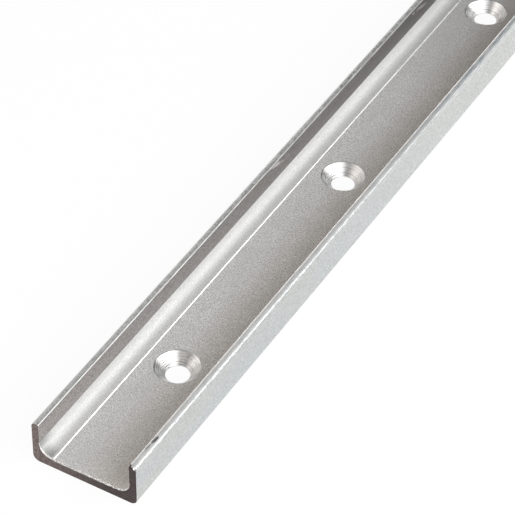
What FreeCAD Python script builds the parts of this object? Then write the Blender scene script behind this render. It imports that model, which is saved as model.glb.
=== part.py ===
import FreeCAD, Part
import math
import os

# Channel guide rail: one length of cold-drawn steel, lying with its open side up.
# The rail runs along Y, its width is along X and its flat underside is at Z = 0.
# The origin is the middle of the underside.

# Driving dimensions, in millimetres and degrees

# The cut length
rail_length = 320.0
rail_width = 28.0
rail_height = 12.0

# The walls of the channel
web_thickness = 2.8
flange_thickness = 1.95

# The edges of the section
bottom_corner_radius = 1.8
tip_inner_radius = 0.25
tip_flat_width = 0.6

# The raceway is the flat inner side of each flange, from this height to the tip
raceway_bottom_height = 6.3

# The relief groove below each raceway, which keeps a roller's edge out of the corner
relief_depth = 0.2
relief_floor_width = 0.5

# The middle of the web lies this much lower than the floors of the grooves
web_step = 0.16

# The countersunk screw holes along the middle of the web
hole_pitch = 80.0
screw_hole_diameter = 6.0
countersink_diameter = 11.2
countersink_angle = 90.0

# The edge that the file breaks along the channel's floor at each sawn end
end_break_height = 0.45
end_break_length = 0.25

# Sizes that follow from the driving dimensions

half_width = rail_width / 2
half_length = rail_length / 2
raceway_x = half_width - flange_thickness
relief_x = raceway_x + relief_depth
relief_floor_height = web_thickness + web_step
relief_radius = raceway_bottom_height - relief_floor_height
tip_outer_radius = flange_thickness - tip_inner_radius - tip_flat_width
web_land_half_width = relief_x - relief_radius - relief_floor_width - web_step
countersink_slope = math.tan(math.radians(countersink_angle / 2))
countersink_depth = (countersink_diameter - screw_hole_diameter) / 2 / countersink_slope
hole_count = int(rail_length // hole_pitch)

origin = FreeCAD.Vector(0, 0, 0)
across = FreeCAD.Vector(1, 0, 0)
along = FreeCAD.Vector(0, 1, 0)
up = FreeCAD.Vector(0, 0, 1)


def line(start, end):
    """A straight edge of the section, between two points given as x and z."""
    return Part.makeLine(FreeCAD.Vector(start[0], 0, start[1]), FreeCAD.Vector(end[0], 0, end[1]))


def arc(centre_x, centre_z, radius, start_angle, end_angle, added_height=0):
    """A round edge of the section between two angles, drawn out upright by an added height."""
    points = []
    for angle in (start_angle, (start_angle + end_angle) / 2, end_angle):
        turn = math.radians(angle)
        reach_x = radius * math.cos(turn)
        reach_z = (radius + added_height) * math.sin(turn)
        points.append(FreeCAD.Vector(centre_x + reach_x, 0, centre_z + reach_z))
    return Part.Arc(*points).toShape()


def both_sides(edges):
    """The edges of the right side, and the same edges on the left."""
    return edges + [edge.mirror(origin, across) for edge in edges]


def floor_edges(drop):
    """The channel's floor with its two grooves, which drops by that much below the raceways' lower edges."""
    groove_x = relief_x - relief_radius
    step_x = web_land_half_width + web_step
    groove_z = relief_floor_height - drop
    land_z = web_thickness - drop
    right = [
        arc(groove_x, raceway_bottom_height, relief_radius, 0, -90, drop),
        line((groove_x, groove_z), (step_x, groove_z)),
        line((step_x, groove_z), (web_land_half_width, land_z)),
    ]
    return both_sides(right) + [line((-web_land_half_width, land_z), (web_land_half_width, land_z))]


def flange_edges():
    """The two flanges, each from the underside round its tip and down to the groove."""
    tip_z = rail_height - tip_outer_radius
    inner_tip_z = rail_height - tip_inner_radius
    right = [
        arc(half_width - bottom_corner_radius, bottom_corner_radius, bottom_corner_radius, -90, 0),
        line((half_width, bottom_corner_radius), (half_width, tip_z)),
        arc(half_width - tip_outer_radius, tip_z, tip_outer_radius, 0, 90),
        line((half_width - tip_outer_radius, rail_height), (raceway_x + tip_inner_radius, rail_height)),
        arc(raceway_x + tip_inner_radius, inner_tip_z, tip_inner_radius, 90, 180),
        line((raceway_x, inner_tip_z), (raceway_x, raceway_bottom_height)),
        line((raceway_x, raceway_bottom_height), (relief_x, raceway_bottom_height)),
    ]
    return both_sides(right)


def closed_wire(edges, y):
    """One closed outline from loose edges, at a place along the rail."""
    wire = Part.Wire(Part.__sortEdges__(edges))
    return wire.translated(along * y)


def rail_bar():
    """The whole section, drawn out to the rail's length."""
    underside_x = half_width - bottom_corner_radius
    underside = line((-underside_x, 0), (underside_x, 0))
    section = closed_wire(flange_edges() + floor_edges(0) + [underside], -half_length)
    return Part.Face(section).extrude(along * rail_length)


def end_flare(end):
    """The metal that the file takes off the floor's edge, at the near end (-1) or the far end (1)."""
    top = line((-relief_x, raceway_bottom_height), (relief_x, raceway_bottom_height))
    inner = closed_wire(floor_edges(0) + [top], end * (half_length - end_break_length))
    outer = closed_wire(floor_edges(2 * end_break_height) + [top], end * (half_length + end_break_length))
    return Part.makeLoft([inner, outer], True, True)


def screw_hole(y):
    """The metal that one countersunk hole takes out of the web."""
    seat_bottom = web_thickness - countersink_depth
    screw_radius = screw_hole_diameter / 2
    head_radius = countersink_diameter / 2
    shank = Part.makeCylinder(screw_radius, rail_height, FreeCAD.Vector(0, y, seat_bottom - rail_height), up)
    seat = Part.makeCone(screw_radius, head_radius, countersink_depth, FreeCAD.Vector(0, y, seat_bottom), up)
    mouth = Part.makeCylinder(head_radius, rail_height, FreeCAD.Vector(0, y, web_thickness), up)
    return shank.fuse(seat).fuse(mouth)


def guide_rail():
    """The drawn bar, deburred at both ends and drilled along its middle."""
    bar = rail_bar()
    for end in (-1, 1):
        bar = bar.cut(end_flare(end))
    first_hole = -(hole_count - 1) * hole_pitch / 2
    for index in range(hole_count):
        bar = bar.cut(screw_hole(first_hole + index * hole_pitch))
    return bar.removeSplitter()


os.makedirs("parts", exist_ok=True)
rail = guide_rail()
rail.exportStep("parts/guide_rail.step")
print("solids", len(rail.Solids), "valid", rail.isValid(), "volume", round(rail.Volume, 1))
print("holes", hole_count)
print("web land", round(2 * web_land_half_width, 2), "groove radius", round(relief_radius, 2))
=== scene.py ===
import math
import random

import bmesh
import bpy
from mathutils import Matrix, Vector


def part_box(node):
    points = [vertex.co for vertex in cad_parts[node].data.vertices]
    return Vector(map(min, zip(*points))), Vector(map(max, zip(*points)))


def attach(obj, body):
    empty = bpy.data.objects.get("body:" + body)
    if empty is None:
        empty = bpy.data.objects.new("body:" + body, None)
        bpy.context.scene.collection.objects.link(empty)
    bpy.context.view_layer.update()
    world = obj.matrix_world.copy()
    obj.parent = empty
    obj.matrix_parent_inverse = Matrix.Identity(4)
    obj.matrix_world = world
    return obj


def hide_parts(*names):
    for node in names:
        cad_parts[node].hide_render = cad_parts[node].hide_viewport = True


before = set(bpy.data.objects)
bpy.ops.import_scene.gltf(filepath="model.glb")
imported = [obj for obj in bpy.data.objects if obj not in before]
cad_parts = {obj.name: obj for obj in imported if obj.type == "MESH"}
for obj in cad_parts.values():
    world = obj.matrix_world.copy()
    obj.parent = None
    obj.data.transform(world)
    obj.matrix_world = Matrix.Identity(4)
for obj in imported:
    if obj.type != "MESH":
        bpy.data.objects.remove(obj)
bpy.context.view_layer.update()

# The looks of the channel guide rail: a fine mesh of the drawn, drilled and sawn bar in place of
# the plain solid, its steel finishes, a pale floor, soft studio light and the photograph's camera.
# Sizes and places on the rail are in millimetres, and angles are in degrees. The near end is the
# one towards -Y, and the left side is the one towards -X.

MM = 0.001
rail_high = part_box("guide_rail")[1]

# The section, whose outer size comes from the frame

HALF_WIDTH, HALF_LENGTH, HEIGHT = [round(size / MM, 3) for size in rail_high]
WEB_THICKNESS = 2.8
FLANGE_THICKNESS = 1.95
BOTTOM_CORNER_RADIUS = 1.8
TIP_INNER_RADIUS = 0.25
TIP_FLAT_WIDTH = 0.6
RACEWAY_BOTTOM = 6.3
RELIEF_DEPTH = 0.2
RELIEF_FLOOR_WIDTH = 0.5
WEB_STEP = 0.16

RACEWAY_X = HALF_WIDTH - FLANGE_THICKNESS
RELIEF_X = RACEWAY_X + RELIEF_DEPTH
RELIEF_FLOOR = WEB_THICKNESS + WEB_STEP
RELIEF_RADIUS = RACEWAY_BOTTOM - RELIEF_FLOOR
TIP_OUTER_RADIUS = FLANGE_THICKNESS - TIP_INNER_RADIUS - TIP_FLAT_WIDTH
LAND_HALF_WIDTH = RELIEF_X - RELIEF_RADIUS - RELIEF_FLOOR_WIDTH - WEB_STEP

# The countersunk holes, whose seats have turned rings and a rounded rim that runs out into the web

HOLE_PITCH = 80.0
HOLE_RADIUS = 3.0
SEAT_RADIUS = 5.6
SEAT_SLOPE = 45.0
RING_PITCH = 0.62
RING_HEIGHT = 0.009
RIM_RADIUS = 0.3
RIM_END_ANGLE = 98.0
MOUTH_RUN = 0.08
MOUTH_RISE = 0.012

# The edges

# The raceways' lower edges and the sawn ends are broken by this much
RACEWAY_EDGE = 0.08
END_BREAK = 0.04
# At a sharp corner of the section a break reaches no further than its size divided by this
LEAST_MITRE = 0.5
# The file broke the floor's edge at the ends by this height and length, which vary by these shares
FILED_HEIGHT = 0.45
FILED_LENGTH = 0.25
GROOVE_FILED_LENGTH = 0.22
FILED_HEIGHT_SPREAD = 0.15
FILED_LENGTH_SPREAD = 0.6
FILING_SEED = 7
# The outer round of each tip is rubbed from this angle up, and its top is worn along the inner edge
RUBBED_FROM = 58.0
WORN_WIDTH = 0.18

# How finely the section, the holes and the knocks are drawn

CORNER_STEPS = 14
ROUNDED_STEPS = 9
RUBBED_STEPS = 7
TIP_INNER_STEPS = 8
RACEWAY_EDGE_STEPS = 3
RELIEF_STEPS = 30
RELIEF_FLOOR_STEPS = 3
LAND_STEPS = 88
RIM_STEPS = 3
STEPS_A_RING = 6
HOLE_SIDES = 128
KNOCK_SUBDIVISIONS = 3
# Edges that turn by less than this are shaded smooth
SMOOTH_ANGLE = 28.0

# The marks of use and making

# Small knocks at the near end, each as its finish, its middle as x, the distance from that end and z,
# its half sizes and its turn about z. No two of them overlap.
KNOCKS = {
    "dent": ("soiled", (12.84, 9.8, 12.02), (0.4, 1.35, 0.22), -4.0),
    "trail": ("soiled", (12.62, 7.05, 12.01), (0.13, 1.1, 0.08), -6.0),
    "left_spot": ("soiled", (-12.5, 0.4, 12.0), (0.12, 0.2, 0.1), 0.0),
    "right_inner_corner": ("sawn", (12.05, -0.3, 12.1), (0.7, 1.15, 0.75), 0.0),
    "right_outer_corner": ("burnished", (13.6, -0.1, 11.8), (0.45, 0.4, 0.5), 0.0),
    "left_inner_corner": ("burnished", (-12.0, -0.05, 12.05), (0.3, 0.35, 0.3), 0.0),
}

# Rubbed marks on the left raceway, each as y, z, half its length, half its height, its slope and how
# plain it is to see. They reach this far into the metal and fade out at this many half sizes.
RUBS = (
    (-53.0, 10.95, 2.9, 0.65, -15.0, 1.0),
    (-47.7, 9.8, 1.6, 0.9, -15.0, 0.15),
    (19.8, 10.6, 0.6, 0.35, -20.0, 0.9),
    (23.8, 10.2, 2.8, 0.5, -12.0, 0.6),
)
RUB_REACH = 1.0
RUB_FADE = 1.7

# Painted darker reflections on two sides of each countersink, each as its direction from the x axis,
# the cosines of the angles from there at which it starts and is full, and its shade
SEAT_REFLECTION_SHADES = (
    (222.0, 0.80, 0.97, 0.60),
    (352.0, 0.86, 0.98, 0.72),
)

# The finishes

# The finishes of the bar, in the order of its material slots
FINISHES = (
    "drawn", "wall", "tip", "burnished", "raceway", "sawn", "deburred", "turned", "soiled", "rounded",
    "groove", "edge",
)
# The finishes that stretches of the section take along the rail and at its filed ends
ALONG = {"floor": "drawn", "step": "burnished"}
FILED = {"floor": "deburred", "groove": "burnished", "step": "deburred"}
# The light and dark of the speckle on the web and in the grooves, and how far a groove darkens at its
# near end
WEB_LIGHT = (1.0, 0.998, 0.988)
WEB_DARK = (0.475, 0.473, 0.465)
GROOVE_LIGHT = (0.77, 0.769, 0.76)
GROOVE_DARK = (0.56, 0.559, 0.55)
GROOVE_END_DARK_SHARE = 0.68
# Finishes change sides within this distance of the rail's middle
SIDE_BORDER = 1.0
# What lies at the near end is full within this distance of it
END_BORDER = 1.0
# The sockets of Blender's Mix node that hold the share, the two colours and the result, by number
MIX_SHARE = 0
MIX_FIRST = 6
MIX_SECOND = 7
MIX_RESULT = 2


def arc(centre_x, centre_z, radius, start_angle, end_angle, steps):
    """Points along a round stretch of the section."""
    points = []
    for step in range(steps + 1):
        angle = math.radians(start_angle + (end_angle - start_angle) * step / steps)
        points.append((centre_x + radius * math.cos(angle), centre_z + radius * math.sin(angle)))
    return points


def straight(start, end, steps=1):
    """Points along a straight stretch of the section."""
    points = []
    for step in range(steps + 1):
        share = step / steps
        points.append((start[0] + (end[0] - start[0]) * share, start[1] + (end[1] - start[1]) * share))
    return points


def right_stretches():
    """The right half of the section from the underside to the web, as finishes with their points."""
    tip_z = HEIGHT - TIP_OUTER_RADIUS
    inner_tip_z = HEIGHT - TIP_INNER_RADIUS
    ledge_x = RACEWAY_X + RACEWAY_EDGE
    ledge_z = RACEWAY_BOTTOM + RACEWAY_EDGE
    groove_x = RELIEF_X - RELIEF_RADIUS
    step_x = LAND_HALF_WIDTH + WEB_STEP
    corner_x = HALF_WIDTH - BOTTOM_CORNER_RADIUS
    outer_tip_x = HALF_WIDTH - TIP_OUTER_RADIUS
    inner_tip_x = RACEWAY_X + TIP_INNER_RADIUS
    worn_x = inner_tip_x + WORN_WIDTH
    return [
        ("wall", arc(corner_x, BOTTOM_CORNER_RADIUS, BOTTOM_CORNER_RADIUS, -90, 0, CORNER_STEPS)),
        ("wall", straight((HALF_WIDTH, BOTTOM_CORNER_RADIUS), (HALF_WIDTH, tip_z))),
        ("rounded", arc(outer_tip_x, tip_z, TIP_OUTER_RADIUS, 0, RUBBED_FROM, ROUNDED_STEPS)),
        ("tip", arc(outer_tip_x, tip_z, TIP_OUTER_RADIUS, RUBBED_FROM, 90, RUBBED_STEPS)),
        ("tip", straight((outer_tip_x, HEIGHT), (worn_x, HEIGHT))),
        ("edge", straight((worn_x, HEIGHT), (inner_tip_x, HEIGHT))),
        ("burnished", arc(inner_tip_x, inner_tip_z, TIP_INNER_RADIUS, 90, 180, TIP_INNER_STEPS)),
        ("raceway", straight((RACEWAY_X, inner_tip_z), (RACEWAY_X, ledge_z))),
        ("raceway", arc(ledge_x, ledge_z, RACEWAY_EDGE, 180, 270, RACEWAY_EDGE_STEPS)),
        ("groove", straight((ledge_x, RACEWAY_BOTTOM), (RELIEF_X, RACEWAY_BOTTOM))),
        ("groove", arc(groove_x, RACEWAY_BOTTOM, RELIEF_RADIUS, 0, -90, RELIEF_STEPS)),
        ("floor", straight((groove_x, RELIEF_FLOOR), (step_x, RELIEF_FLOOR), RELIEF_FLOOR_STEPS)),
        ("step", straight((step_x, RELIEF_FLOOR), (LAND_HALF_WIDTH, WEB_THICKNESS))),
    ]


def mirrored(stretches):
    """The same stretches on the left, in the order that carries the outline on."""
    result = []
    for finish, points in reversed(stretches):
        result.append((finish, [(-x, z) for x, z in reversed(points)]))
    return result


def section_outline():
    """The closed outline, as points with the finish of the stretch that follows each."""
    right = right_stretches()
    land = straight((LAND_HALF_WIDTH, WEB_THICKNESS), (-LAND_HALF_WIDTH, WEB_THICKNESS), LAND_STEPS)
    stretches = right + [("floor", land)] + mirrored(right)
    outline = []
    for finish, points in stretches:
        outline += [(point, finish) for point in points[:-1]]
    underside_start = stretches[-1][1][-1]
    outline.append((underside_start, "wall"))
    return outline


def inward(outline, index):
    """The way into the metal at one point of the outline, as far as an even break of 1 moves it."""
    normals = []
    for first in (index - 1, index):
        (x0, z0), _ = outline[first]
        (x1, z1), _ = outline[(first + 1) % len(outline)]
        normals.append(Vector((z0 - z1, x1 - x0)).normalized())
    middle = (normals[0] + normals[1]).normalized()
    return middle / max(middle.dot(normals[0]), LEAST_MITRE)


def end_stations(outline, end, draw):
    """The points of one sawn end: the outline of its face, and the ragged line where its break starts."""
    face = []
    line = []
    for index, ((x, z), finish) in enumerate(outline):
        move = inward(outline, index) * END_BREAK
        depth = END_BREAK
        if finish in FILED:
            share = min((RACEWAY_BOTTOM - z) / RELIEF_RADIUS, 1)
            height = FILED_HEIGHT * (1 + FILED_HEIGHT_SPREAD * draw.uniform(-1, 1))
            move = Vector((0, -share * height))
            length = GROOVE_FILED_LENGTH if finish == "groove" else FILED_LENGTH
            depth = length * (1 + FILED_LENGTH_SPREAD * draw.uniform(-1, 1))
        face.append(Vector((x + move.x, end * HALF_LENGTH, z + move.y)) * MM)
        line.append(Vector((x, end * (HALF_LENGTH - depth), z)) * MM)
    return face, line


def bar_mesh():
    """The undrilled bar, with its finishes on its faces."""
    draw = random.Random(FILING_SEED)
    outline = section_outline()
    near_face, near_line = end_stations(outline, -1, draw)
    far_face, far_line = end_stations(outline, 1, draw)
    shape = bmesh.new()
    rows = []
    for row in (near_face, near_line, far_line, far_face):
        rows.append([shape.verts.new(point) for point in row])
    for row, next_row, taken in zip(rows, rows[1:], (FILED, ALONG, FILED)):
        for index, (_, finish) in enumerate(outline):
            after = (index + 1) % len(outline)
            face = shape.faces.new((row[index], next_row[index], next_row[after], row[after]))
            face.material_index = FINISHES.index(taken.get(finish, finish))
    for row in (rows[0], rows[-1]):
        face = shape.faces.new(row)
        face.material_index = FINISHES.index("sawn")
    bmesh.ops.recalc_face_normals(shape, faces=shape.faces)
    return shape


def seat_profile():
    """Radius and height along one hole, from below the rail to above it, with its seat's turned rings."""
    slope = math.radians(SEAT_SLOPE)
    seat_bottom = WEB_THICKNESS - (SEAT_RADIUS - HOLE_RADIUS) * math.tan(slope)
    rim_x = SEAT_RADIUS + RIM_RADIUS * math.tan(slope / 2)
    rim_z = WEB_THICKNESS - RIM_RADIUS
    rim = arc(rim_x, rim_z, RIM_RADIUS, 90 + SEAT_SLOPE, RIM_END_ANGLE, RIM_STEPS)
    profile = [(HOLE_RADIUS, -WEB_THICKNESS), (HOLE_RADIUS, seat_bottom)]
    slope_length = (rim[0][0] - HOLE_RADIUS) / math.cos(slope)
    steps = int(slope_length / RING_PITCH * STEPS_A_RING)
    for step in range(1, steps):
        along = slope_length * step / steps
        lift = RING_HEIGHT * math.sin(2 * math.pi * along / RING_PITCH)
        radius = HOLE_RADIUS + along * math.cos(slope) - lift * math.sin(slope)
        profile.append((radius, seat_bottom + along * math.sin(slope) + lift * math.cos(slope)))
    mouth_radius = rim[-1][0] + MOUTH_RUN
    mouth = [(mouth_radius, rim[-1][1] + MOUTH_RISE), (mouth_radius, 2 * WEB_THICKNESS)]
    return profile + rim + mouth


def add_hole(shape, y):
    """The metal that one countersunk hole takes away, as a turned solid."""
    rows = []
    for radius, z in seat_profile():
        row = []
        for side in range(HOLE_SIDES):
            angle = 2 * math.pi * side / HOLE_SIDES
            place = Vector((radius * math.cos(angle), y + radius * math.sin(angle), z))
            row.append(shape.verts.new(place * MM))
        rows.append(row)
    for lower, upper in zip(rows, rows[1:]):
        for side in range(HOLE_SIDES):
            after = (side + 1) % HOLE_SIDES
            shape.faces.new((lower[side], lower[after], upper[after], upper[side]))
    shape.faces.new(list(reversed(rows[0])))
    shape.faces.new(rows[-1])


def add_knock(shape, finish, middle, halves, turn):
    """The metal that one small knock took away, as a stretched ball."""
    x, from_end, z = middle
    place = Matrix.Translation(Vector((x, from_end - HALF_LENGTH, z)) * MM)
    rotation = Matrix.Rotation(math.radians(turn), 4, "Z")
    size = Matrix.Diagonal([half * MM for half in halves] + [1])
    ball = bmesh.ops.create_icosphere(
        shape, subdivisions=KNOCK_SUBDIVISIONS, radius=1, matrix=place @ rotation @ size)
    for vert in ball["verts"]:
        for face in vert.link_faces:
            face.material_index = FINISHES.index(finish)


def cutter_mesh():
    """All that is taken out of the bar: the holes and the knocks."""
    shape = bmesh.new()
    hole_count = int(2 * HALF_LENGTH // HOLE_PITCH)
    for index in range(hole_count):
        add_hole(shape, (index - (hole_count - 1) / 2) * HOLE_PITCH)
    for face in shape.faces:
        face.material_index = FINISHES.index("turned")
    for knock in KNOCKS.values():
        add_knock(shape, *knock)
    bmesh.ops.recalc_face_normals(shape, faces=shape.faces)
    return shape


def mesh_object(name, shape, materials):
    """A new object in the scene from a finished bmesh."""
    mesh = bpy.data.meshes.new(name)
    shape.to_mesh(mesh)
    shape.free()
    for material in materials:
        mesh.materials.append(material)
    result = bpy.data.objects.new(name, mesh)
    bpy.context.scene.collection.objects.link(result)
    return result


def drilled_rail(materials):
    """The bar with its holes and knocks cut, smooth apart from its real edges."""
    rail = mesh_object("drawn_rail", bar_mesh(), materials)
    cutter = mesh_object("drill", cutter_mesh(), materials)
    cut = rail.modifiers.new("drill", "BOOLEAN")
    cut.operation = "DIFFERENCE"
    cut.solver = "EXACT"
    cut.object = cutter
    cut.material_mode = "INDEX"
    graph = bpy.context.evaluated_depsgraph_get()
    drilled = bpy.data.meshes.new_from_object(rail.evaluated_get(graph))
    drilled.name = "drawn_rail"
    rail.modifiers.clear()
    rail.data = drilled
    bpy.data.objects.remove(cutter)
    for face in drilled.polygons:
        face.use_smooth = True
    drilled.set_sharp_from_angle(angle=math.radians(SMOOTH_ANGLE))
    weighted = rail.modifiers.new("even_shading", "WEIGHTED_NORMAL")
    weighted.keep_sharp = True
    return rail


class Finish:
    """A metal material whose colour, gloss and relief are built up in the rail's own coordinates."""

    def __init__(self, name, metallic):
        self.material = bpy.data.materials.new(name)
        self.material.use_nodes = True
        self.tree = self.material.node_tree
        self.shader = self.tree.nodes["Principled BSDF"]
        self.shader.inputs["Metallic"].default_value = metallic
        self.place = self.tree.nodes.new("ShaderNodeTexCoord").outputs["Object"]
        self.normal = None

    def noise(self, waves, detail=3.0, rough=0.55, pattern=0.0):
        """Noise from 0 to 1, with that many waves in a millimetre along each axis. Another angle for
        the pattern gives another one of the same kind."""
        mapping = self.tree.nodes.new("ShaderNodeMapping")
        mapping.inputs["Rotation"].default_value = (0, math.radians(pattern), 0)
        mapping.inputs["Scale"].default_value = [count / MM for count in waves]
        self.tree.links.new(self.place, mapping.inputs["Vector"])
        noise = self.tree.nodes.new("ShaderNodeTexNoise")
        noise.inputs["Scale"].default_value = 1.0
        noise.inputs["Detail"].default_value = detail
        noise.inputs["Roughness"].default_value = rough
        self.tree.links.new(mapping.outputs["Vector"], noise.inputs["Vector"])
        return noise.outputs["Fac"]

    def along(self, axis, low, high):
        """The place along one axis, as 0 at the low value and 1 at the high one."""
        axes = self.tree.nodes.new("ShaderNodeSeparateXYZ")
        self.tree.links.new(self.place, axes.inputs["Vector"])
        return self.spread(axes.outputs[axis], low * MM, high * MM)

    def left(self):
        """1 on the rail's left side and 0 on its right."""
        return self.along("X", SIDE_BORDER, -SIDE_BORDER)

    def right(self):
        """1 on the rail's right side and 0 on its left."""
        return self.along("X", -SIDE_BORDER, SIDE_BORDER)

    def near_end(self, reach):
        """1 at the rail's near end, and 0 beyond that distance from it."""
        return self.along("Y", reach - HALF_LENGTH, END_BORDER - HALF_LENGTH)

    def vectors(self, operation, first, second=(0, 0, 0), third=(0, 0, 0)):
        """A sum, a product or the like on vectors, as a vector and as a value."""
        node = self.tree.nodes.new("ShaderNodeVectorMath")
        node.operation = operation
        self.tree.links.new(first, node.inputs[0])
        node.inputs[1].default_value = second
        node.inputs[2].default_value = third
        return node.outputs[0], node.outputs[1]

    def from_hole(self):
        """The place as seen from the axis of the nearest screw hole, without its height. The holes stand
        half a pitch from the rail's middle and a pitch apart."""
        pitch = HOLE_PITCH * MM
        stretch, _ = self.vectors("WRAP", self.place, (1, pitch, 1), (-1, 0, -1))
        return self.vectors("MULTIPLY_ADD", stretch, (1, 1, 0), (0, -pitch / 2, 0))[0]

    def rings(self, waves):
        """Noise from 0 to 1 in rings round the screw holes, with that many waves in a millimetre."""
        _, radius = self.vectors("LENGTH", self.from_hole())
        noise = self.tree.nodes.new("ShaderNodeTexNoise")
        noise.noise_dimensions = "1D"
        noise.inputs["Scale"].default_value = waves / MM
        self.tree.links.new(radius, noise.inputs["W"])
        return noise.outputs["Fac"]

    def hole_side(self, turn):
        """1 on the side of each screw hole that lies that way from the x axis, and -1 across from it."""
        outward, _ = self.vectors("NORMALIZE", self.from_hole())
        angle = math.radians(turn)
        return self.vectors("DOT_PRODUCT", outward, (math.cos(angle), math.sin(angle), 0))[1]

    def mark(self, middle, halves, slope, ragged):
        """A patch of those half sizes that slopes about the x axis: 1 inside, fading to 0 outside."""
        local = self.tree.nodes.new("ShaderNodeMapping")
        local.vector_type = "TEXTURE"
        local.inputs["Location"].default_value = [size * MM for size in middle]
        local.inputs["Rotation"].default_value = (math.radians(slope), 0, 0)
        local.inputs["Scale"].default_value = [size * MM for size in halves]
        self.tree.links.new(self.place, local.inputs["Vector"])
        _, away = self.vectors("LENGTH", local.outputs["Vector"])
        return self.spread(self.joined("ADD", away, ragged), 1.0, RUB_FADE, 1.0, 0.0)

    def joined(self, operation, first, second):
        """Two values joined by a sum, a product or the like."""
        node = self.tree.nodes.new("ShaderNodeMath")
        node.operation = operation
        self.tree.links.new(first, node.inputs[0])
        self.tree.links.new(second, node.inputs[1])
        return node.outputs["Value"]

    def both(self, first, second):
        """The product of two values, which is full only where both are."""
        return self.joined("MULTIPLY", first, second)

    def spread(self, value, low, high, start=0.0, end=1.0):
        """The value with its range from low to high stretched to the range from start to end."""
        node = self.tree.nodes.new("ShaderNodeMapRange")
        node.inputs["From Min"].default_value = low
        node.inputs["From Max"].default_value = high
        node.inputs["To Min"].default_value = start
        node.inputs["To Max"].default_value = end
        self.tree.links.new(value, node.inputs["Value"])
        return node.outputs["Result"]

    def mixed(self, share, first, second):
        """A colour between two, the first where the share is 0 and the second where it is 1."""
        node = self.tree.nodes.new("ShaderNodeMix")
        node.data_type = "RGBA"
        self.tree.links.new(share, node.inputs[MIX_SHARE])
        for number, colour in ((MIX_FIRST, first), (MIX_SECOND, second)):
            if isinstance(colour, bpy.types.NodeSocket):
                self.tree.links.new(colour, node.inputs[number])
            else:
                node.inputs[number].default_value = (*colour, 1)
        return node.outputs[MIX_RESULT]

    def laid(self, base, colour, value, low=0.0, high=1.0, most=1.0):
        """The base with a colour laid over it, by a share that goes from 0 where the value is low to
        the most where it is high."""
        return self.mixed(self.spread(value, low, high, 0.0, most), base, colour)

    def tinted(self, base, tint, value):
        """The base with a clear tint over it, by a value from 0 to 1."""
        result = self.mixed(value, base, tint)
        result.node.blend_type = "MULTIPLY"
        return result

    def relief(self, height, depth):
        """Adds relief of that depth to what is there already."""
        node = self.tree.nodes.new("ShaderNodeBump")
        node.inputs["Distance"].default_value = depth * MM
        self.tree.links.new(height, node.inputs["Height"])
        if self.normal:
            self.tree.links.new(self.normal, node.inputs["Normal"])
        self.normal = node.outputs["Normal"]

    def gloss(self, value, low, high, smoothest, roughest):
        """Makes the surface smoothest where the value is low and roughest where it is high."""
        roughness = self.spread(value, low, high, smoothest, roughest)
        self.tree.links.new(roughness, self.shader.inputs["Roughness"])

    def done(self, colour):
        """Puts the colour and the relief on the shader."""
        self.tree.links.new(colour, self.shader.inputs["Base Color"])
        self.tree.links.new(self.normal, self.shader.inputs["Normal"])
        return self.material


def drawn_steel(name, light, dark, end_dark_share):
    """The satin skin that drawing leaves on the web and the grooves: fine speckle, clouds and faint
    streaks, painted shade towards the far end where the light falls off, a little dust to the near
    end, painted warm light on the shaded right side, and darker low and high in the near end of the
    left groove."""
    cloud = (0.60, 0.593, 0.58)
    far_shade = (0.43, 0.43, 0.423)
    dust = (0.5, 0.5, 0.49)
    shade_warmth = (1.0, 0.95, 0.9)
    streak = (0.78, 0.78, 0.77)
    dark_tone = (0.22, 0.22, 0.215)
    steel = Finish(name, metallic=0.5)
    clouds = steel.noise((0.24, 0.11, 0.24), detail=4)
    streaks = steel.noise((1.5, 0.009, 1.5))
    grain = steel.noise((4.0, 3.3, 4.0), detail=1)
    speckled = steel.laid(light, dark, grain, low=0.36, high=0.64)
    clouded = steel.laid(speckled, cloud, clouds, low=0.35, high=0.65, most=0.3)
    # Painted shade towards the far end, where the light falls off
    far_shaded = steel.laid(clouded, far_shade, steel.along("Y", -5, 45), most=0.45)
    dusty = steel.laid(far_shaded, dust, steel.along("Y", -105, -HALF_LENGTH), most=0.2)
    # Painted warm light on the right side, which lies in the right flange's shade
    warm_shaded = steel.tinted(dusty, shade_warmth, steel.along("X", -2, 8))
    streaked = steel.laid(warm_shaded, streak, streaks, low=0.35, high=0.75, most=0.2)
    # Darker low and high in the near end of the left groove
    low_dark_share = steel.both(steel.along("Z", 5.4, 3.6), steel.near_end(4))
    high_dark_share = steel.both(steel.along("Z", 3.8, 5.1), steel.near_end(6))
    left_dark_share = steel.both(steel.left(), steel.joined("MAXIMUM", low_dark_share, high_dark_share))
    colour = steel.laid(streaked, dark_tone, left_dark_share, most=end_dark_share)
    steel.relief(grain, 0.012)
    steel.relief(streaks, 0.012)
    steel.gloss(grain, low=0.2, high=0.8, smoothest=0.52, roughest=0.66)
    return steel.done(colour)


def wall_steel():
    """The outer walls and the underside, drawn smoother: fine grain, faint streaks, bluish in places
    and cleaner towards the far end."""
    grey = (0.665, 0.68, 0.655)
    bluish = (0.635, 0.67, 0.69)
    clean = (0.80, 0.81, 0.785)
    streak = (0.75, 0.755, 0.74)
    speck = (0.36, 0.365, 0.355)
    steel = Finish("wall_steel", metallic=0.9)
    clouds = steel.noise((0.09, 0.022, 0.09))
    streaks = steel.noise((1.8, 0.014, 1.8), detail=4, rough=0.6)
    grain = steel.noise((4.4, 3.4, 4.4), detail=1)
    base = steel.laid(grey, bluish, clouds, low=0.4, high=0.6)
    cleaner = steel.laid(base, clean, steel.along("Y", -90, 50))
    streaked = steel.laid(cleaner, streak, streaks, low=0.4, high=0.75, most=0.4)
    colour = steel.laid(streaked, speck, grain, low=0.33, high=0.68, most=0.75)
    steel.relief(streaks, 0.01)
    steel.relief(grain, 0.01)
    steel.gloss(streaks, low=0.25, high=0.75, smoothest=0.36, roughest=0.48)
    return steel.done(colour)


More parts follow.
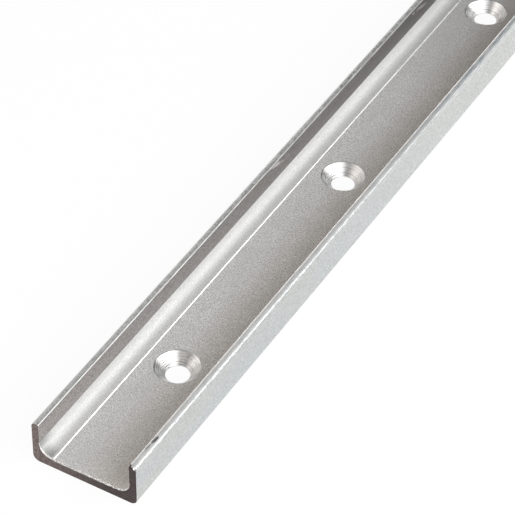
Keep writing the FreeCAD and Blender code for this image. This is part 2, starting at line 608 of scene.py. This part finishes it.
def rubbed_tip():
    """The tops of the flanges, rubbed in storage: scratches along them, specks of grime on the left
    one, more of them to its far end, and bluish stains on the far part of the right one."""
    dull = (0.47, 0.475, 0.47)
    rubbed = (0.61, 0.612, 0.604)
    scratch = (0.46, 0.46, 0.455)
    dark_tone = (0.13, 0.13, 0.127)
    stain = (0.27, 0.31, 0.335)
    steel = Finish("rubbed_tip", metallic=0.4)
    clouds = steel.noise((1.1, 0.33, 1.1), rough=0.6)
    scratches = steel.noise((4.0, 0.03, 4.0), rough=0.65)
    specks = steel.noise((3.3, 2.0, 3.3), detail=1)
    stains = steel.noise((4.2, 0.26, 4.2), rough=0.65)
    base = steel.laid(dull, rubbed, clouds, low=0.3, high=0.7)
    scratched = steel.laid(base, scratch, scratches, low=0.45, high=0.75, most=0.5)
    left_inner = steel.both(steel.left(), steel.along("X", -HALF_WIDTH, TIP_OUTER_RADIUS - HALF_WIDTH))
    left_far = steel.both(left_inner, steel.along("Y", -330, 60))
    left_dark_share = steel.both(left_far, steel.spread(specks, 0.42, 0.58, 0.08, 1.0))
    grimy = steel.laid(scratched, dark_tone, left_dark_share)
    right_far = steel.both(steel.right(), steel.along("Y", -60, 10))
    right_stains = steel.both(right_far, steel.spread(stains, 0.45, 0.57, 0.0, 0.9))
    colour = steel.laid(grimy, stain, right_stains)
    steel.relief(scratches, 0.06)
    steel.gloss(scratches, low=0.25, high=0.75, smoothest=0.42, roughest=0.6)
    return steel.done(colour)


def rounded_tip():
    """The outer rounds of the flanges, brighter than their tops: scratches along them, and cleaner
    metal on the far part of the right one."""
    dull = (0.48, 0.488, 0.488)
    bright = (0.65, 0.657, 0.65)
    clean = (0.77, 0.785, 0.78)
    scratch = (0.42, 0.43, 0.43)
    steel = Finish("rounded_tip", metallic=0.85)
    clouds = steel.noise((2.2, 0.9, 2.2), rough=0.6)
    scratches = steel.noise((3.0, 0.3, 3.0), rough=0.65)
    base = steel.laid(dull, bright, clouds, low=0.35, high=0.65)
    right_far = steel.both(steel.right(), steel.along("Y", -110, 60))
    cleaner = steel.laid(base, clean, right_far)
    colour = steel.laid(cleaner, scratch, scratches, low=0.46, high=0.66, most=0.6)
    steel.relief(scratches, 0.06)
    steel.relief(clouds, 0.03)
    steel.gloss(scratches, low=0.25, high=0.75, smoothest=0.26, roughest=0.38)
    return steel.done(colour)


def burnished_edge():
    """Bright metal: the inner edges of the tips and the web's steps, which the drawing die polished,
    the grooves' filed edges and two of the knocks."""
    dull = (0.76, 0.755, 0.745)
    bright = (0.96, 0.955, 0.945)
    steel = Finish("burnished_edge", metallic=1.0)
    rub = steel.noise((0.7, 0.16, 0.7), detail=4, rough=0.7)
    colour = steel.laid(dull, bright, rub, low=0.35, high=0.65)
    steel.relief(rub, 0.01)
    steel.gloss(rub, low=0.3, high=0.7, smoothest=0.26, roughest=0.4)
    return steel.done(colour)


def worn_edge():
    """The narrow strip worn along the inner edge of each top: bright on the right flange's near part,
    and greyer to its far end and on the left flange."""
    left_dull = (0.29, 0.29, 0.286)
    left_bright = (0.54, 0.54, 0.53)
    right_dull = (0.72, 0.72, 0.71)
    right_bright = (0.95, 0.95, 0.94)
    right_far = (0.50, 0.51, 0.505)
    steel = Finish("worn_edge", metallic=0.35)
    rub = steel.noise((0.9, 0.12, 0.9), detail=4, rough=0.7)
    left = steel.laid(left_dull, left_bright, rub, low=0.35, high=0.65)
    right_near = steel.laid(right_dull, right_bright, rub, low=0.35, high=0.65)
    right = steel.laid(right_near, right_far, steel.along("Y", -HALF_LENGTH, 60))
    colour = steel.laid(left, right, steel.right())
    steel.relief(rub, 0.01)
    steel.gloss(rub, low=0.3, high=0.7, smoothest=0.4, roughest=0.5)
    return steel.done(colour)


def raceway_steel():
    """The raceways, smoother and darker than the rest: lines along the rail, a lighter upper part,
    painted shade that deepens away from the near end where the light falls off, fine speckle and a
    few rubbed marks."""
    dark = (0.49, 0.45, 0.435)
    light = (0.53, 0.495, 0.483)
    line = (0.54, 0.525, 0.51)
    upper = (0.695, 0.645, 0.63)
    far_shade = (0.215, 0.202, 0.195)
    speck = (0.152, 0.139, 0.135)
    rubbed = (0.80, 0.76, 0.75)
    steel = Finish("raceway_steel", metallic=1.0)
    clouds = steel.noise((0.22, 0.09, 0.22), detail=4, rough=0.6)
    lines = steel.noise((3.0, 0.01, 3.0))
    grain = steel.noise((4.6, 3.4, 4.6), detail=1)
    base = steel.laid(dark, light, clouds, low=0.35, high=0.65)
    lined = steel.laid(base, line, lines, low=0.45, high=0.8, most=0.4)
    lighter = steel.laid(lined, upper, steel.along("Z", 6.5, 9.5), most=0.9)
    # Painted shade that deepens away from the near end, where the light falls off
    far_shaded = steel.laid(lighter, far_shade, steel.along("Y", -165, 20))
    colour = steel.laid(far_shaded, speck, grain, low=0.36, high=0.64, most=0.68)
    ragged = steel.spread(steel.noise((0.9, 0.5, 0.9)), 0.3, 0.7, 0.0, 0.9)
    for y, z, half_length, half_height, slope, plainness in RUBS:
        rub = steel.mark((-RACEWAY_X, y, z), (RUB_REACH, half_length, half_height), slope, ragged)
        colour = steel.laid(colour, rubbed, rub, most=plainness)
    steel.relief(lines, 0.015)
    steel.gloss(lines, low=0.25, high=0.75, smoothest=0.18, roughest=0.28)
    return steel.done(colour)


def sawn_end():
    """The sawn ends: dull metal with a brown heat tint, darker to the right, and the saw's fine lines."""
    light = (0.225, 0.182, 0.171)
    dark = (0.038, 0.026, 0.026)
    patch = (0.060, 0.044, 0.042)
    line = (0.24, 0.205, 0.196)
    steel = Finish("sawn_end", metallic=0.3)
    patches = steel.noise((1.3, 1.3, 1.3), rough=0.6)
    lines = steel.noise((0.7, 0.7, 5.2), detail=2, rough=0.5, pattern=24)
    base = steel.laid(light, dark, steel.along("X", -HALF_WIDTH, 6))
    patchy = steel.laid(base, patch, patches, low=0.4, high=0.62, most=0.7)
    colour = steel.laid(patchy, line, lines, low=0.5, high=0.8, most=0.45)
    steel.relief(lines, 0.04)
    steel.gloss(patches, low=0.3, high=0.7, smoothest=0.5, roughest=0.68)
    return steel.done(colour)


def deburred_edge():
    """The bright, uneven edge that the file left along the floor at each end."""
    dull = (0.36, 0.35, 0.345)
    bright = (0.96, 0.95, 0.94)
    steel = Finish("deburred_edge", metallic=0.3)
    spots = steel.noise((5.2, 5.2, 5.2), detail=2, rough=0.6)
    colour = steel.laid(dull, bright, spots, low=0.42, high=0.6)
    steel.relief(spots, 0.04)
    steel.gloss(spots, low=0.3, high=0.7, smoothest=0.3, roughest=0.46)
    return steel.done(colour)


def turned_seat():
    """The countersinks: cut metal with the tool's finest lines around them, cleaner towards the far
    end, and painted darker reflections on two sides."""
    dull = (0.60, 0.597, 0.59)
    bright = (0.72, 0.717, 0.71)
    clean = (0.84, 0.84, 0.83)
    line = (0.38, 0.377, 0.37)
    steel = Finish("turned_seat", metallic=1.0)
    flecks = steel.noise((1.1, 1.1, 5.2), rough=0.6)
    lines = steel.rings(2.1)
    base = steel.laid(dull, bright, flecks, low=0.3, high=0.7)
    cleaner = steel.laid(base, clean, steel.along("Y", -HALF_LENGTH, 80))
    colour = steel.laid(cleaner, line, lines, low=0.48, high=0.68, most=0.65)
    # Painted darker reflections on two sides of each seat
    for turn, edge, middle, shade in SEAT_REFLECTION_SHADES:
        reflection_shade = steel.spread(steel.hole_side(turn), edge, middle)
        colour = steel.tinted(colour, (shade, shade, shade), reflection_shade)
    steel.relief(flecks, 0.004)
    steel.relief(lines, 0.012)
    steel.gloss(flecks, low=0.3, high=0.7, smoothest=0.25, roughest=0.36)
    return steel.done(colour)


def soiled_dent():
    """Old grease and dust in a dent."""
    grease = (0.07, 0.068, 0.064)
    dust = (0.22, 0.215, 0.21)
    steel = Finish("soiled_dent", metallic=0.1)
    crumbs = steel.noise((1.8, 1.8, 1.8))
    colour = steel.laid(grease, dust, crumbs, low=0.3, high=0.7)
    steel.relief(crumbs, 0.03)
    steel.gloss(crumbs, low=0.3, high=0.7, smoothest=0.5, roughest=0.7)
    return steel.done(colour)


# The floor, the light and the camera

# The floor's size in metres, its place a hair below the rail, its colour and how white it is to see
FLOOR_SIZE = 12.0
FLOOR_DROP = 0.02 * MM
FLOOR_COLOUR = (0.92, 0.92, 0.92)
WHITE_SHARE = 0.94
# The grey of the surround
SURROUND = 0.2
# The colours of the light
COOL = (0.98, 0.995, 1.0)
WARM = (1.0, 0.86, 0.78)
MILD = (1.0, 0.94, 0.90)
PLAIN = (1.0, 1.0, 1.0)
# The soft panels round the rail: the angle of each round from the x axis and above the floor, its
# distance, its width and its height in metres, its radiance and its colour
LAMPS = {
    "right_low": (-3, 19, 1.2, 1.40, 0.30, 4.1, COOL),
    "right_middle": (-3, 34, 1.2, 1.40, 0.34, 2.6, COOL),
    "right_high": (-3, 49, 1.2, 1.30, 0.30, 1.65, COOL),
    "right_back": (35, 31, 1.2, 0.60, 0.60, 2.8, COOL),
    "front_right": (-32, 30, 0.6, 0.54, 0.25, 2.0, COOL),
    "front_high": (-32, 52, 0.6, 0.54, 0.25, 1.0, COOL),
    "front_top": (-40, 70, 0.6, 0.40, 0.30, 0.45, COOL),
    "front_low": (285, 20, 0.6, 0.50, 0.25, 1.6, WARM),
    "front_left": (258, 40, 1.2, 0.50, 0.40, 0.35, PLAIN),
    "left_high": (200, 50, 0.6, 0.50, 0.28, 1.5, MILD),
    "left_back": (135, 14, 1.2, 0.60, 0.45, 3.2, PLAIN),
}

# The camera, worked out from the photograph: the point on the web that it looks at, its distance, its
# angles round from the x axis and above the floor, its roll, and its lens and sensor in millimetres
AIM = Vector((-3.146, -77.601, WEB_THICKNESS)) * MM
CAMERA_DISTANCE = 665.0 * MM
CAMERA_AZIMUTH = -60.05
CAMERA_ELEVATION = 42.55
CAMERA_ROLL = 0.79
CAMERA_LENS = 189.2
CAMERA_SENSOR = 36.0


def white_floor():
    """A pale floor that looks white to the camera and in the metal, and still takes the rail's shadow."""
    material = bpy.data.materials.new("white_floor")
    material.use_nodes = True
    tree = material.node_tree
    tree.nodes.clear()
    rays = tree.nodes.new("ShaderNodeLightPath")
    seen = rays.outputs["Is Camera Ray"]
    for ray in ("Is Glossy Ray", "Is Transmission Ray"):
        either = tree.nodes.new("ShaderNodeMath")
        either.operation = "MAXIMUM"
        tree.links.new(seen, either.inputs[0])
        tree.links.new(rays.outputs[ray], either.inputs[1])
        seen = either.outputs[0]
    share = tree.nodes.new("ShaderNodeMath")
    share.operation = "MULTIPLY"
    share.inputs[1].default_value = WHITE_SHARE
    tree.links.new(seen, share.inputs[0])
    lit = tree.nodes.new("ShaderNodeBsdfDiffuse")
    lit.inputs["Color"].default_value = (*FLOOR_COLOUR, 1)
    white = tree.nodes.new("ShaderNodeEmission")
    white.inputs["Color"].default_value = (1, 1, 1, 1)
    white.inputs["Strength"].default_value = 1.0
    mixed = tree.nodes.new("ShaderNodeMixShader")
    tree.links.new(share.outputs[0], mixed.inputs[0])
    tree.links.new(lit.outputs[0], mixed.inputs[1])
    tree.links.new(white.outputs[0], mixed.inputs[2])
    output = tree.nodes.new("ShaderNodeOutputMaterial")
    tree.links.new(mixed.outputs[0], output.inputs["Surface"])
    return material


def add_floor():
    """One wide flat floor under the rail."""
    shape = bmesh.new()
    place = Matrix.Translation((0, 0, -FLOOR_DROP))
    bmesh.ops.create_grid(shape, x_segments=1, y_segments=1, size=FLOOR_SIZE / 2, matrix=place)
    floor = mesh_object("floor", shape, [white_floor()])


def facing(azimuth, elevation):
    """The axes of a lamp or camera that looks at the aim from there: its right, its up and its back."""
    turn = math.radians(azimuth)
    rise = math.radians(elevation)
    right = Vector((-math.sin(turn), math.cos(turn), 0))
    level = Vector((math.cos(turn), math.sin(turn), 0))
    back = level * math.cos(rise) + Vector((0, 0, math.sin(rise)))
    return right, back.cross(right), back


def put(name, data, distance, right, up, back):
    """A lamp or camera in the scene with those axes, at that distance from the aim."""
    holder = bpy.data.objects.new(name, data)
    place = Matrix((right, up, back)).transposed().to_4x4()
    place.translation = AIM + back * distance
    holder.matrix_world = place
    bpy.context.scene.collection.objects.link(holder)
    return holder


def add_lamps():
    """Soft panels round the rail, all turned to it."""
    for name, (azimuth, elevation, distance, width, height, radiance, colour) in LAMPS.items():
        lamp = bpy.data.lights.new(name, "AREA")
        lamp.shape = "RECTANGLE"
        lamp.size = width
        lamp.size_y = height
        lamp.energy = radiance * math.pi * width * height
        lamp.color = colour
        put(name, lamp, distance, *facing(azimuth, elevation))


def add_surround():
    """An even grey surround."""
    world = bpy.data.worlds.new("surround")
    world.use_nodes = True
    grey = (SURROUND, SURROUND, SURROUND, 1)
    world.node_tree.nodes["Background"].inputs["Color"].default_value = grey
    bpy.context.scene.world = world


def add_camera():
    """The photograph's viewpoint."""
    lens = bpy.data.cameras.new("camera")
    lens.sensor_fit = "HORIZONTAL"
    lens.sensor_width = CAMERA_SENSOR
    lens.lens = CAMERA_LENS
    roll = math.radians(CAMERA_ROLL)
    level_right, level_up, back = facing(CAMERA_AZIMUTH, CAMERA_ELEVATION)
    right = level_right * math.cos(roll) + level_up * math.sin(roll)
    up = level_up * math.cos(roll) - level_right * math.sin(roll)
    bpy.context.scene.camera = put("camera", lens, CAMERA_DISTANCE, right, up, back)


finishes = {
    "drawn": drawn_steel("drawn_web", WEB_LIGHT, WEB_DARK, end_dark_share=0.0),
    "wall": wall_steel(),
    "tip": rubbed_tip(),
    "burnished": burnished_edge(),
    "raceway": raceway_steel(),
    "sawn": sawn_end(),
    "deburred": deburred_edge(),
    "turned": turned_seat(),
    "soiled": soiled_dent(),
    "rounded": rounded_tip(),
    "groove": drawn_steel("drawn_groove", GROOVE_LIGHT, GROOVE_DARK, end_dark_share=GROOVE_END_DARK_SHARE),
    "edge": worn_edge(),
}
rail = drilled_rail([finishes[name] for name in FINISHES])
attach(rail, "root")
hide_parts("guide_rail")

add_floor()
add_lamps()
add_surround()
add_camera()
bpy.context.scene.view_settings.view_transform = "Standard"
